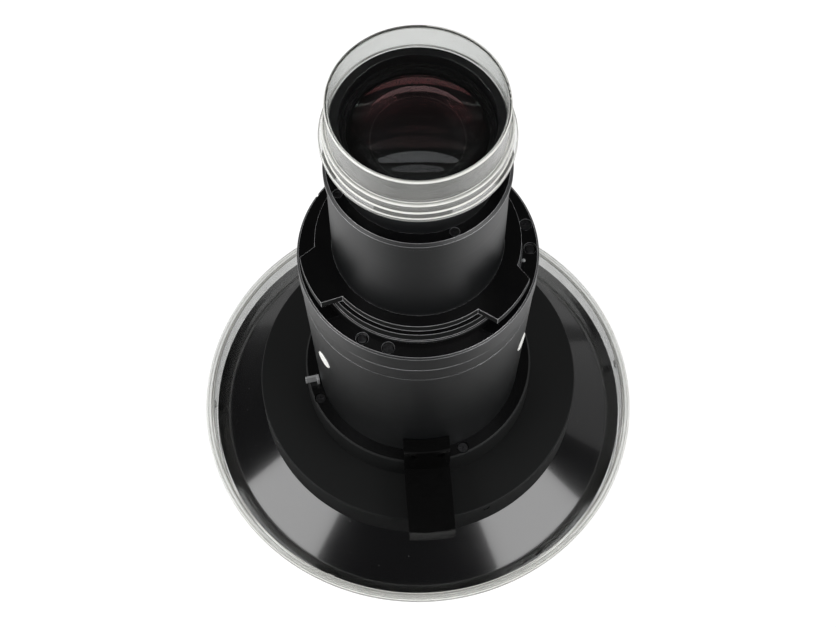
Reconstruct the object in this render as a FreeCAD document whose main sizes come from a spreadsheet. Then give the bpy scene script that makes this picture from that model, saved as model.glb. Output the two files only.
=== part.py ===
import FreeCAD, Part
import math
import os

import Sketcher

# Short-throw projection lens, standing on its clear front cap with the rear end up.
# Millimetres. +Z runs along the optical axis from the front of the lens to its rear,
# the origin lies under the middle of the front cap, and -Y is the side with the lock bracket.

doc = FreeCAD.newDocument("ShortThrowLens")
sheet = doc.addObject("Spreadsheet::Sheet", "dims")

# Driving dimensions: name, millimetres or degrees, what it measures
SIZES = [
    ("cap_draft", 0.8, "front cap, lean of the wall from foot to lip"),
    ("cap_height", 16.0, "front cap, floor to lip"),
    ("cap_wall", 1.2, "front cap, sheet thickness"),
    ("cap_lip_width", 2.9, "front cap, lip beyond the wall"),
    ("cap_hood_gap", 0.5, "front cap to hood, radial"),
    ("nub_width", 4.0, "front cap, width of a snap nub"),
    ("nub_angle", 6.0, "front cap, clock angle of the snap nubs"),
    ("hood_radius", 104.6, "hood, front edge"),
    ("hood_rim_height", 7.8, "hood, height of the front cylinder"),
    ("hood_land_width", 4.5, "hood, land beside the front edge"),
    ("hood_land_rise", 3.1, "hood, rise over the land"),
    ("hood_cone_rise", 15.7, "hood, rise of the cone inside the land"),
    ("hood_wall", 5.0, "hood, wall measured along the radius"),
    ("spigot_height", 6.0, "hood, spigot inside the housing"),
    ("spigot_wall", 3.0, "hood, spigot wall"),
    ("housing_radius", 78.9, "front housing, outside"),
    ("housing_height", 17.8, "front housing, rim wall"),
    ("housing_plate", 4.0, "front housing, rear plate"),
    ("rim_wall", 3.6, "front housing, rim wall thickness"),
    ("edge_bevel", 0.5, "small bevel on machined edges"),
    ("slip", 0.2, "radial clearance of a slip fit"),
    ("glass_seat_wall", 4.9, "front housing, wall between the spigot and the front glass"),
    ("front_glass_edge", 6.1, "front glass, edge thickness"),
    ("front_outer_curve", 110.0, "front glass, outer surface radius"),
    ("front_inner_curve", 95.0, "front glass, inner surface radius"),
    ("seal_width", 4.0, "front seal, width of the ring"),
    ("seal_thickness", 0.5, "front seal, thickness"),
    ("front_lock_width", 3.0, "front lock ring, width"),
    ("front_lock_height", 3.2, "front lock ring, height"),
    ("plate_bore", 37.0, "front housing, bore of the rear plate"),
    ("tube_radius", 44.0, "lens tube, outside"),
    ("tube_wall", 3.5, "lens tube, wall"),
    ("flange_spigot_length", 7.7, "mount flange, length of the spigot in the barrel"),
    ("tube_flange", 3.0, "lens tube, rear flange thickness"),
    ("spacer_wall", 3.9, "spacer rings in the tube, wall"),
    ("meniscus_height", 13.0, "inner meniscus, top above the tube's foot"),
    ("meniscus_outer_curve", 60.0, "inner meniscus, front surface radius"),
    ("meniscus_inner_curve", 42.0, "inner meniscus, rear surface radius"),
    ("meniscus_land", 36.0, "inner meniscus, inner radius of the flat land"),
    ("relay_curve", 120.0, "relay glasses, surface radius"),
    ("relay_thickness", 18.0, "relay glasses, centre thickness"),
    ("relay_front_height", 32.4, "front relay glass, lower apex above the tube's foot"),
    ("relay_rear_height", 76.4, "rear relay glass, lower apex above the tube's foot"),
    ("stop_height", 62.4, "aperture stop, above the tube's foot"),
    ("stop_thickness", 1.5, "aperture stop, thickness"),
    ("stop_bore", 16.0, "aperture stop, bore radius"),
    ("tube_lock_height", 4.0, "tube lock ring, height"),
    ("collar_radius", 55.6, "base collar, outside"),
    ("collar_height", 16.3, "base collar, height"),
    ("collar_bevel", 0.8, "base collar, edge bevel"),
    ("barrel_foot_radius", 49.2, "main barrel, outside at the foot"),
    ("barrel_top_radius", 52.5, "main barrel, outside at the top"),
    ("barrel_bore", 46.2, "main barrel, bore"),
    ("barrel_length", 98.8, "main barrel, length"),
    ("plug_radius", 4.5, "side plug, radius"),
    ("plug_proud", 0.3, "side plug, height above the barrel"),
    ("plug_height", 57.3, "side plugs, above the barrel's foot"),
    ("plug_middle", -84.25, "side plugs, clock angle midway between the front pair"),
    ("plug_spread", 62.75, "side plugs, from that middle to each of the pair"),
    ("flange_radius", 52.9, "mount flange, outside"),
    ("flange_height", 11.9, "mount flange, thickness"),
    ("flange_bevel", 0.8, "mount flange, edge bevel"),
    ("flange_bore", 34.0, "mount flange, bore"),
    ("flange_spigot_wall", 4.0, "mount flange, spigot wall"),
    ("groove_width", 0.7, "parting groove under the mount flange"),
    ("notch_width", 1.6, "mount flange, index notch width"),
    ("notch_depth", 0.8, "mount flange, index notch depth"),
    ("notch_angle", 148.0, "mount flange, index notch clock angle"),
    ("flange_screw_ring", 49.0, "mount flange, screw circle radius"),
    ("flange_screw_angle", 15.0, "mount flange, clock angle of the first screw"),
    ("flange_dowel_angle", 1.0, "mount flange, clock angle of the first dowel"),
    ("index_pin_radius", 0.75, "index pin, radius"),
    ("index_pin_ring", 46.2, "index pin, distance from the axis"),
    ("index_pin_angle", -6.6, "index pin, clock angle"),
    ("hub_radius", 44.6, "bayonet ring, hub outside"),
    ("hub_height", 10.4, "bayonet ring, hub height"),
    ("hub_foot_radius", 45.3, "bayonet ring, foot of the hub"),
    ("hub_foot_height", 1.6, "bayonet ring, height of the foot"),
    ("hub_relief_radius", 42.6, "bayonet ring, top edge in the front gap"),
    ("hub_relief_half", 50.0, "bayonet ring, half angle of the front relief"),
    ("lug_radius", 51.6, "bayonet lugs, outside"),
    ("lug_thickness", 4.0, "bayonet lugs, thickness"),
    ("lug_tip_half", 13.4, "bayonet lugs, half angle at the tip"),
    ("lug_root_half", 23.5, "bayonet lugs, half angle at the flared root"),
    ("lug_root_gap_half", 19.0, "bayonet lugs, half angle at the root beside the front gap"),
    ("lug_angle", -36.0, "bayonet lugs, clock angle of the first"),
    ("rear_radius", 37.2, "rear barrel, outside"),
    ("rear_wall", 4.0, "rear barrel, wall"),
    ("rear_length", 68.4, "rear barrel, length"),
    ("cell_flange", 3.5, "rear cell, thickness of the clamped flange"),
    ("cell_flange_radius", 36.0, "rear cell, clamped flange outside"),
    ("retainer_radius", 38.2, "rear retainer, outside"),
    ("retainer_height", 3.6, "rear retainer, height"),
    ("retainer_bevel", 1.2, "rear retainer, edge bevel"),
    ("cell_neck_radius", 32.5, "rear cell, neck outside"),
    ("cell_bore", 30.6, "rear cell, bore"),
    ("cell_drop", 35.0, "rear cell, depth below the rear barrel's end"),
    ("cell_lip", 3.0, "rear cell, thickness of the lower lip"),
    ("cell_neck_height", 25.4, "rear cell, barrel end to the cap seat"),
    ("cap_seat_radius", 35.8, "rear cell, cap seat outside"),
    ("cap_seat_height", 6.0, "rear cell, cap seat height"),
    ("cell_rim_radius", 34.2, "rear cell, rim outside"),
    ("cell_rim_height", 2.0, "rear cell, rim height"),
    ("cell_clear", 26.2, "rear cell, clear radius of lip and spacers"),
    ("field_curve", 90.0, "field glass, surface radius"),
    ("field_thickness", 14.0, "field glass, centre thickness"),
    ("doublet_curve", 60.0, "rear doublet, surface radius"),
    ("doublet_thickness", 20.0, "rear doublet, centre thickness"),
    ("doublet_height", 28.0, "rear doublet, lower apex above the cell's foot"),
    ("rear_glass_height", 52.0, "rear glass, flat face above the cell's foot"),
    ("rear_glass_thickness", 17.5, "rear glass, centre thickness"),
    ("rear_glass_curve", 46.0, "rear glass, domed surface radius"),
    ("rear_lock_clear", 28.0, "rear lock ring, clear radius"),
    ("rear_lock_height", 3.0, "rear lock ring, height"),
    ("rear_cap_radius", 35.6, "rear cap, wall outside"),
    ("rear_cap_height", 15.4, "rear cap, top above its seat"),
    ("rear_cap_wall", 1.0, "rear cap, wall"),
    ("rear_skirt_radius", 37.1, "rear cap, skirt outside"),
    ("rear_skirt_drop", 7.8, "rear cap, skirt below the seat"),
    ("rear_lip_radius", 38.8, "rear cap, lip outside"),
    ("arm_width", 22.0, "lock bracket, width"),
    ("arm_overhang", 10.3, "lock bracket, arm beyond the housing"),
    ("arm_height", 11.1, "lock bracket, height of the arm"),
    ("arm_angle", -85.5, "lock bracket, clock angle"),
    ("block_face", 57.2, "lock bracket, front face of the block"),
    ("block_height", 15.1, "lock bracket, block above the collar"),
    ("block_bevel_rise", 1.6, "lock bracket, rise of the block's bevel"),
    ("block_bevel_run", 0.8, "lock bracket, run of the block's bevel"),
    ("block_back", 50.0, "lock bracket, back of the block"),
    ("block_hole_radius", 2.2, "lock bracket, radius of a screw hole"),
    ("block_hole_side", 6.2, "lock bracket, hole to the middle"),
    ("block_hole_height", 10.0, "lock bracket, holes above the collar"),
    ("block_hole_depth", 2.6, "lock bracket, depth of a screw's face"),
    ("stop_plate_length", 6.6, "stop plate, radial length"),
    ("stop_plate_height", 5.2, "stop plate, height"),
    ("stop_plate_leg", 3.0, "stop plate, leg along the barrel"),
    ("stop_plate_thickness", 1.2, "stop plate, thickness"),
    ("stop_plate_angle", -166.3, "stop plate, clock angle"),
    ("screw_clock", -65.6, "collar and retainer screws, clock angle of the first"),
    ("collar_screw_ring", 52.3, "collar screws, circle radius"),
    ("collar_head_radius", 2.4, "collar screws, head radius"),
    ("collar_counterbore", 2.9, "collar screws, counterbore radius"),
    ("screw_head_radius", 2.2, "flange screws, head radius"),
    ("flange_counterbore", 2.8, "flange screws and dowels, counterbore radius"),
    ("flange_dowel_radius", 1.9, "flange dowels, radius"),
    ("screw_head_height", 1.6, "flange and collar screws, head height"),
    ("screw_shank_radius", 1.25, "flange and collar screws, shank radius"),
    ("screw_shank_length", 6.0, "flange and collar screws, shank length"),
    ("small_head_radius", 1.7, "retainer screws, head radius"),
    ("small_shank_radius", 1.0, "retainer screws, shank radius"),
    ("recess_width", 0.6, "screws, width of the cross recess"),
    ("small_counterbore", 2.0, "retainer screws, counterbore radius"),
    ("counterbore_depth", 1.9, "counterbores, depth"),
    ("hole_runout", 1.0, "drilled holes, run beyond the piece they take"),
    ("rim_screw_radius", 1.6, "rim screws, radius"),
    ("rim_screw_drop", 4.0, "rim screws, below the housing's rear face"),
    ("rim_screw_angle", -64.9, "rim screws, clock angle of the first"),
]


class Size:
    """A number together with the spreadsheet expression that gives it."""

    def __init__(self, number, text):
        self.number = number
        self.text = text

    def __add__(self, other):
        return join(self, "+", other)

    def __sub__(self, other):
        return join(self, "-", other)

    def __mul__(self, other):
        return join(self, "*", other)

    def __truediv__(self, other):
        return join(self, "/", other)

    def __neg__(self):
        return join(0, "-", self)


def as_size(value):
    return value if isinstance(value, Size) else Size(float(value), repr(float(value)))


def join(left, sign, right):
    left = as_size(left)
    right = as_size(right)
    results = {
        "+": left.number + right.number,
        "-": left.number - right.number,
        "*": left.number * right.number,
        "/": left.number / right.number if right.number else 0.0,
    }
    return Size(results[sign], f"({left.text} {sign} {right.text})")


def cosine(angle):
    return Size(math.cos(math.radians(angle.number)), f"cos({angle.text})")


def sine(angle):
    return Size(math.sin(math.radians(angle.number)), f"sin({angle.text})")


def sag(curve, radius):
    """Depth of a spherical surface between its apex and a circle on it."""
    depth = curve.number - math.sqrt(curve.number ** 2 - radius.number ** 2)
    return Size(depth, f"({curve.text} - sqrt({curve.text} ^ 2 - {radius.text} ^ 2))")


class Dimensions:
    """The spreadsheet's cells, each read by its alias."""


dim = Dimensions()
for row, (alias, number, meaning) in enumerate(SIZES, start=1):
    sheet.set(f"A{row}", meaning)
    sheet.set(f"B{row}", str(number))
    sheet.setAlias(f"B{row}", alias)
    setattr(dim, alias, Size(number, f"dims.{alias}"))
doc.recompute()


def bind(item, prop, value):
    item.setExpression(prop, as_size(value).text)


def plane(body, role):
    return [item for item in body.Origin.OriginFeatures if item.Role == role][0]


def hold(sketch, kind, geometry, point, value):
    """Fixes one coordinate of a sketch point to a spreadsheet expression."""
    value = as_size(value)
    index = sketch.addConstraint(Sketcher.Constraint(kind, -1, 1, geometry, point, value.number))
    sketch.setExpression(f"Constraints[{index}]", value.text)


def turned(name, profile):
    """A body of revolution about Z from its (radius, height) corners."""
    body = doc.addObject("PartDesign::Body", name)
    body.Label = name
    sketch = body.newObject("Sketcher::SketchObject", name + "_profile")
    sketch.AttachmentSupport = [(plane(body, "XZ_Plane"), "")]
    sketch.MapMode = "FlatFace"
    corners = [(as_size(radius), as_size(height)) for radius, height in profile]
    for index, (radius, height) in enumerate(corners):
        after = corners[(index + 1) % len(corners)]
        start = FreeCAD.Vector(radius.number, height.number, 0)
        end = FreeCAD.Vector(after[0].number, after[1].number, 0)
        sketch.addGeometry(Part.LineSegment(start, end), False)
    for index, (radius, height) in enumerate(corners):
        before = (index - 1) % len(corners)
        sketch.addConstraint(Sketcher.Constraint("Coincident", before, 2, index, 1))
        if radius.number == 0:
            sketch.addConstraint(Sketcher.Constraint("PointOnObject", index, 1, -2))
        else:
            hold(sketch, "DistanceX", index, 1, radius)
        if height.number == 0:
            sketch.addConstraint(Sketcher.Constraint("PointOnObject", index, 1, -1))
        else:
            hold(sketch, "DistanceY", index, 1, height)
    revolution = body.newObject("PartDesign::Revolution", name + "_turn")
    revolution.Profile = sketch
    revolution.ReferenceAxis = (sketch, ["V_Axis"])
    revolution.Angle = 360.0
    sketch.Visibility = False
    body.Tip = revolution
    return body


def sector_sketch(body, name, height, clock, inner, outer, low_side, high_side):
    """A piece of a ring about a clock angle. Each side is a straight line that runs
    from its half angle on the inner arc to its half angle on the outer one."""
    sketch = body.newObject("Sketcher::SketchObject", name)
    sketch.AttachmentSupport = [(plane(body, "XY_Plane"), "")]
    sketch.MapMode = "FlatFace"
    up = FreeCAD.Vector(0, 0, 1)
    sketch.AttachmentOffset = FreeCAD.Placement(FreeCAD.Vector(), FreeCAD.Rotation(up, clock.number))
    bind(sketch, "AttachmentOffset.Base.z", height)
    bind(sketch, "AttachmentOffset.Rotation.Angle", clock)
    arcs = ((outer, low_side[1], high_side[1]), (inner, low_side[0], high_side[0]))
    for radius, low, high in arcs:
        circle = Part.Circle(FreeCAD.Vector(), up, radius.number)
        start = -math.radians(low.number)
        end = math.radians(high.number)
        sketch.addGeometry(Part.ArcOfCircle(circle, start, end), False)
    for end in (1, 2):
        inner_end = sketch.Geometry[1].StartPoint if end == 1 else sketch.Geometry[1].EndPoint
        outer_end = sketch.Geometry[0].StartPoint if end == 1 else sketch.Geometry[0].EndPoint
        sketch.addGeometry(Part.LineSegment(inner_end, outer_end), False)
        sketch.addConstraint(Sketcher.Constraint("Coincident", end + 1, 1, 1, end))
        sketch.addConstraint(Sketcher.Constraint("Coincident", end + 1, 2, 0, end))
    for arc, (radius, low, high) in enumerate(arcs):
        sketch.addConstraint(Sketcher.Constraint("Coincident", arc, 3, -1, 1))
        index = sketch.addConstraint(Sketcher.Constraint("Radius", arc, radius.number))
        sketch.setExpression(f"Constraints[{index}]", radius.text)
        hold(sketch, "DistanceY", arc, 1, -(radius * sine(low)))
        hold(sketch, "DistanceY", arc, 2, radius * sine(high))
    sketch.Visibility = False
    return sketch


def clocked(item, angle):
    """Turns a whole sub-part about the optical axis."""
    item.Placement = FreeCAD.Placement(FreeCAD.Vector(), FreeCAD.Rotation(FreeCAD.Vector(0, 0, 1), angle.number))
    bind(item, "Placement.Rotation.Angle", angle)
    return item


def upright(name, radius, height, ring, angle, bottom):
    """A cylinder along Z whose axis stands off the optical axis."""
    post = doc.addObject("Part::Cylinder", name)
    bind(post, "Radius", radius)
    bind(post, "Height", height)
    bind(post, "Placement.Base.x", ring * cosine(angle))
    bind(post, "Placement.Base.y", ring * sine(angle))
    bind(post, "Placement.Base.z", bottom)
    return post


def radial(name, radius, length, start, angle, height, side=0):
    """A cylinder that points away from the optical axis."""
    rod = doc.addObject("Part::Cylinder", name)
    side = as_size(side)
    bind(rod, "Radius", radius)
    bind(rod, "Height", length)
    bind(rod, "Placement.Base.x", start * cosine(angle) - side * sine(angle))
    bind(rod, "Placement.Base.y", start * sine(angle) + side * cosine(angle))
    bind(rod, "Placement.Base.z", height)
    rod.Placement.Rotation = FreeCAD.Rotation(FreeCAD.Vector(0, 1, 0), 90)
    bind(rod, "Placement.Rotation.Axis.x", -sine(angle))
    bind(rod, "Placement.Rotation.Axis.y", cosine(angle))
    return rod


def block(name, length, width, height, x, y, z):
    box = doc.addObject("Part::Box", name)
    for prop, value in (("Length", length), ("Width", width), ("Height", height)):
        bind(box, prop, value)
    for prop, value in (("x", x), ("y", y), ("z", z)):
        bind(box, f"Placement.Base.{prop}", value)
    return box


def group(name, items):
    bundle = doc.addObject("Part::Compound", name)
    bundle.Links = items
    bundle.Label = name
    return bundle


def combine(kind, name, base, tool):
    result = doc.addObject(kind, name)
    result.Base = base
    result.Tool = tool
    result.Label = name
    return result


def cut(name, base, tools):
    """Takes holes out of a blank, which gives up its own label to the finished piece."""
    base.Label = name + "_blank"
    tool = tools[0] if len(tools) == 1 else group(name + "_holes", tools)
    return combine("Part::Cut", name, base, tool)


def thirds(first):
    """Three even clock angles."""
    return [first + 120 * step for step in range(3)]


def quarters(first):
    """Four even clock angles."""
    return [first + 90 * step for step in range(4)]


def glass(name, radius, low, high, low_curve, high_curve):
    """A lens element between two apex heights. A curve of None is a flat face,
    and a negative curve is hollow."""
    height = high - low
    shape = upright(name + "_edge", radius, height, as_size(0), as_size(0), low)
    for end, apex, curve, direction in (("low", low, low_curve, 1), ("high", high, high_curve, -1)):
        if curve is None:
            continue
        ball = doc.addObject("Part::Sphere", f"{name}_{end}_curve")
        bind(ball, "Radius", curve)
        bind(ball, "Placement.Base.z", apex + curve * direction)
        shape = combine("Part::Common", f"{name}_{end}", shape, ball)
    shape.Label = name
    return shape


def screws(name, head, shank_radius, ring, angles, seat):
    """Pan-head screws with a cross recess, their heads standing on one seat."""
    made = []
    for step, angle in enumerate(angles):
        title = f"{name}_{step + 1}"
        cap = upright(title + "_head", head, dim.screw_head_height, ring, angle, seat)
        shank = upright(
            title + "_shank", shank_radius, dim.screw_shank_length,
            ring, angle, seat - dim.screw_shank_length,
        )
        whole = combine("Part::Fuse", title + "_body", cap, shank)
        length = head * 1.3
        half = length / 2
        edge = dim.recess_width / 2
        floor = seat + dim.screw_head_height / 2
        bar = block(title + "_bar", length, dim.recess_width, dim.screw_head_height, -half, -edge, 0)
        post = block(title + "_post", dim.recess_width, length, dim.screw_head_height, -edge, -half, 0)
        recess = combine("Part::Fuse", title + "_recess", bar, post)
        bind(recess, "Placement.Base.x", ring * cosine(angle))
        bind(recess, "Placement.Base.y", ring * sine(angle))
        bind(recess, "Placement.Base.z", floor)
        made.append(combine("Part::Cut", title, whole, recess))
    return group(name, made)


def shank_holes(name, shank_radius, ring, angles, seat):
    """The holes for the shanks of a set of screws, a little deeper than they are."""
    depth = dim.screw_shank_length + dim.hole_runout
    return [
        upright(f"{name}_{step}", shank_radius + dim.slip / 4, depth, ring, angle, seat - depth)
        for step, angle in enumerate(angles)
    ]


def counterbores(name, radius, ring, angles, seat):
    """The wide holes that the screw heads stand in, open at the top."""
    depth = dim.counterbore_depth + dim.hole_runout
    return [
        upright(f"{name}_{step}", radius, depth, ring, angle, seat)
        for step, angle in enumerate(angles)
    ]


# Heights of the seats, from the front cap's floor to the rear cap
hood_front = dim.cap_wall
hood_edge = hood_front + dim.hood_rim_height
land_top = hood_edge + dim.hood_land_rise
housing_front = land_top + dim.hood_cone_rise
housing_rear = housing_front + dim.housing_height
collar_top = housing_rear + dim.collar_height
barrel_top = collar_top + dim.barrel_length
flange_top = barrel_top + dim.flange_height
hub_top = flange_top + dim.hub_height
lug_bottom = hub_top - dim.lug_thickness
rear_end = flange_top + dim.rear_length
retainer_top = rear_end + dim.retainer_height
cell_foot = rear_end - dim.cell_drop
seat_bottom = rear_end + dim.cell_neck_height
cap_seat = seat_bottom + dim.cap_seat_height
cell_top = cap_seat + dim.cell_rim_height
rear_cap_top = cap_seat + dim.rear_cap_height
tube_end = barrel_top - dim.flange_spigot_length
tube_bore = dim.tube_radius - dim.tube_wall
cap_wall_top = dim.hood_radius + dim.cap_hood_gap + dim.cap_draft
cap_lip_radius = cap_wall_top + dim.cap_wall + dim.cap_lip_width
spigot_bore = dim.housing_radius - dim.rim_wall - dim.slip - dim.spigot_wall
front_glass_radius = spigot_bore - dim.glass_seat_wall - dim.slip

# Screw circle of the rear retainer, midway over its flat face
retainer_ring = (dim.cell_neck_radius + dim.slip / 2 + dim.retainer_radius - dim.retainer_bevel) / 2
retainer_place = (retainer_ring, quarters(dim.screw_clock), retainer_top - dim.counterbore_depth)


def front_cap():
    """Clear drawn cap with an outward lip and six snap nubs above the hood's edge."""
    wall_foot = dim.hood_radius + dim.cap_hood_gap
    wall_top = cap_wall_top
    lip_under = dim.cap_height - dim.cap_wall
    cap = turned("front_cap", [
        (0, 0),
        (wall_foot - dim.cap_wall / 2, 0),
        (wall_foot + dim.cap_wall, dim.cap_wall),
        (wall_top + dim.cap_wall, lip_under),
        (cap_lip_radius - dim.cap_wall, lip_under),
        (cap_lip_radius - dim.cap_wall, lip_under - dim.cap_wall),
        (cap_lip_radius, lip_under - dim.cap_wall),
        (cap_lip_radius, dim.cap_height - dim.edge_bevel),
        (cap_lip_radius - dim.edge_bevel, dim.cap_height),
        (wall_top, dim.cap_height),
        (wall_foot, dim.cap_wall),
        (0, dim.cap_wall),
    ])
    nub_bottom = hood_edge + dim.cap_wall
    nub_inner = dim.hood_radius + dim.cap_hood_gap
    half = Size(
        math.degrees(math.asin(dim.nub_width.number / 2 / nub_inner.number)),
        f"asin({dim.nub_width.text} / 2 / {nub_inner.text})",
    )
    sketch = sector_sketch(
        cap, "nub_outline", nub_bottom, as_size(0), nub_inner, wall_top + dim.cap_wall / 2,
        (half, half), (half, half),
    )
    nub = cap.newObject("PartDesign::Pad", "nub")
    nub.Profile = sketch
    bind(nub, "Length", lip_under - nub_bottom)
    ring = cap.newObject("PartDesign::PolarPattern", "nub_ring")
    ring.Originals = [nub]
    ring.Axis = (plane(cap, "Z_Axis"), [""])
    ring.Angle = 360
    ring.Occurrences = 6
    cap.Tip = ring
    return clocked(cap, dim.nub_angle)


def hood():
    """Glossy cone with a land beside its front edge and a spigot into the housing."""
    spigot = spigot_bore + dim.spigot_wall
    land = dim.hood_radius - dim.hood_land_width
    slope = (land - dim.housing_radius) / dim.hood_cone_rise
    neck = housing_front + (dim.housing_radius - dim.hood_wall - spigot_bore) / slope
    front_bore = dim.hood_radius - dim.hood_wall * 2 / 3
    inner_front = housing_front - (front_bore + dim.hood_wall - dim.housing_radius) / slope
    return turned("hood", [
        (dim.hood_radius - dim.edge_bevel * 2, hood_front),
        (dim.hood_radius, hood_front + dim.edge_bevel * 2),
        (dim.hood_radius, hood_edge),
        (land, land_top),
        (dim.housing_radius, housing_front),
        (spigot, housing_front),
        (spigot, housing_front + dim.spigot_height),
        (spigot_bore, housing_front + dim.spigot_height),
        (spigot_bore, neck),
        (front_bore, inner_front),
        (front_bore, hood_front),
    ])


# Seats of the front glass inside the housing
front_glass_rear = housing_rear - dim.housing_plate - dim.seal_thickness * 2 - dim.seal_thickness / 5
front_glass_front = front_glass_rear - dim.front_glass_edge
front_apex = front_glass_front - sag(dim.front_outer_curve, front_glass_radius)
front_lock_bore = front_glass_radius - dim.front_lock_width
front_lock_top = front_apex + sag(dim.front_outer_curve, front_lock_bore)
front_lock_bottom = front_lock_top - dim.front_lock_height


def front_housing():
    """Matt disc with a deep rim, bored for the front glass and for the hood's spigot."""
    glass_bore = front_glass_radius + dim.slip
    rim_bore = dim.housing_radius - dim.rim_wall
    ledge = housing_front + dim.spigot_height
    seal_bore = front_glass_radius - dim.seal_width
    blank = turned("front_housing", [
        (rim_bore, housing_front),
        (dim.housing_radius, housing_front),
        (dim.housing_radius, housing_rear - dim.edge_bevel),
        (dim.housing_radius - dim.edge_bevel, housing_rear),
        (dim.plate_bore, housing_rear),
        (dim.plate_bore, housing_rear - dim.housing_plate),
        (seal_bore, housing_rear - dim.housing_plate),
        (seal_bore, front_glass_rear + dim.seal_thickness),
        (glass_bore, front_glass_rear + dim.seal_thickness),
        (glass_bore, front_lock_bottom),
        (spigot_bore - dim.slip, front_lock_bottom),
        (spigot_bore - dim.slip, ledge),
        (rim_bore, ledge),
    ])
    depth = dim.rim_wall
    holes = []
    for step, angle in enumerate(thirds(dim.rim_screw_angle)):
        holes.append(radial(
            f"rim_hole_{step + 1}", dim.rim_screw_radius + dim.slip / 2, depth + dim.hole_runout,
            dim.housing_radius - depth, angle, housing_rear - dim.rim_screw_drop,
        ))
    return cut("front_housing", blank, holes)


def rim_screws():
    """Grub screws that lock the housing's rim, each just under the surface."""
    depth = dim.rim_wall
    made = []
    for step, angle in enumerate(thirds(dim.rim_screw_angle)):
        height = housing_rear - dim.rim_screw_drop
        title = f"rim_screw_{step + 1}"
        rod = radial(
            title + "_rod", dim.rim_screw_radius, depth - dim.edge_bevel,
            dim.housing_radius - depth, angle, height,
        )
        socket = radial(
            title + "_socket", dim.rim_screw_radius / 2, depth / 3,
            dim.housing_radius - dim.edge_bevel - depth / 3, angle, height,
        )
        made.append(combine("Part::Cut", title, rod, socket))
    return group("rim_screws", made)


def front_group():
    """The big front meniscus, the seal behind it and the ring that locks it."""
    blank = glass(
        "front_glass_blank", front_glass_radius, front_apex, front_glass_rear,
        dim.front_outer_curve, None,
    )
    land = front_glass_radius - dim.seal_width
    hollow = doc.addObject("Part::Sphere", "front_glass_hollow")
    bind(hollow, "Radius", dim.front_inner_curve)
    bind(hollow, "Placement.Base.z", front_glass_rear - sag(dim.front_inner_curve, land) + dim.front_inner_curve)
    combine("Part::Cut", "front_glass", blank, hollow)
    turned("front_seal", [
        (land, front_glass_rear),
        (front_glass_radius, front_glass_rear),
        (front_glass_radius, front_glass_rear + dim.seal_thickness),
        (land, front_glass_rear + dim.seal_thickness),
    ])
    turned("front_lock_ring", [
        (front_lock_bore, front_lock_bottom),
        (front_glass_radius, front_lock_bottom),
        (front_glass_radius, front_lock_top),
        (front_lock_bore, front_lock_top),
    ])


def tube_stack():
    """The tube inside the main barrel with its glasses, spacers, stop and lock ring."""
    radius = tube_bore - dim.slip
    clear = radius - dim.spacer_wall
    flange = dim.barrel_bore - dim.slip
    turned("lens_tube", [
        (tube_bore, housing_rear),
        (dim.tube_radius, housing_rear),
        (dim.tube_radius, tube_end - dim.tube_flange),
        (flange, tube_end - dim.tube_flange),
        (flange, tube_end),
        (tube_bore, tube_end),
    ])
    meniscus_top = housing_rear + dim.meniscus_height
    front_surface = housing_rear - sag(dim.meniscus_outer_curve, dim.plate_bore) + dim.slip
    blank = glass("meniscus_blank", radius, front_surface, meniscus_top, dim.meniscus_outer_curve, None)
    hollow = doc.addObject("Part::Sphere", "meniscus_hollow")
    bind(hollow, "Radius", dim.meniscus_inner_curve)
    bind(
        hollow, "Placement.Base.z",
        meniscus_top - sag(dim.meniscus_inner_curve, dim.meniscus_land) + dim.meniscus_inner_curve,
    )
    combine("Part::Cut", "inner_meniscus", blank, hollow)

    reach = sag(dim.relay_curve, clear)
    front_low = housing_rear + dim.relay_front_height
    front_high = front_low + dim.relay_thickness
    rear_low = housing_rear + dim.relay_rear_height
    rear_high = rear_low + dim.relay_thickness
    stop_bottom = housing_rear + dim.stop_height
    stop_top = stop_bottom + dim.stop_thickness
    glass("relay_glass_front", radius, front_low, front_high, dim.relay_curve, dim.relay_curve)
    glass("relay_glass_rear", radius, rear_low, rear_high, dim.relay_curve, dim.relay_curve)
    lock_bottom = rear_high - reach
    rings = (
        ("tube_spacer_front", clear, meniscus_top, front_low + reach),
        ("tube_spacer_middle", clear, front_high - reach, stop_bottom),
        ("aperture_stop", dim.stop_bore, stop_bottom, stop_top),
        ("tube_spacer_rear", clear, stop_top, rear_low + reach),
        ("tube_lock_ring", clear, lock_bottom, lock_bottom + dim.tube_lock_height),
    )
    for name, bore, low, high in rings:
        turned(name, [(bore, low), (radius, low), (radius, high), (bore, high)])


def base_collar():
    """Ring between the front housing and the main barrel, with a ledge for four screws."""
    bore = dim.tube_radius + dim.slip
    blank = turned("base_collar", [
        (bore, housing_rear),
        (dim.collar_radius, housing_rear),
        (dim.collar_radius, collar_top - dim.collar_bevel),
        (dim.collar_radius - dim.collar_bevel, collar_top),
        (bore, collar_top),
    ])
    seat = collar_top - dim.counterbore_depth
    shank = dim.screw_shank_radius
    place = (dim.collar_screw_ring, quarters(dim.screw_clock), seat)
    screws("collar_screws", dim.collar_head_radius, shank, *place)
    tools = counterbores("collar_counterbore", dim.collar_counterbore, *place)
    return cut("base_collar", blank, tools + shank_holes("collar_hole", shank, *place))


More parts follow.
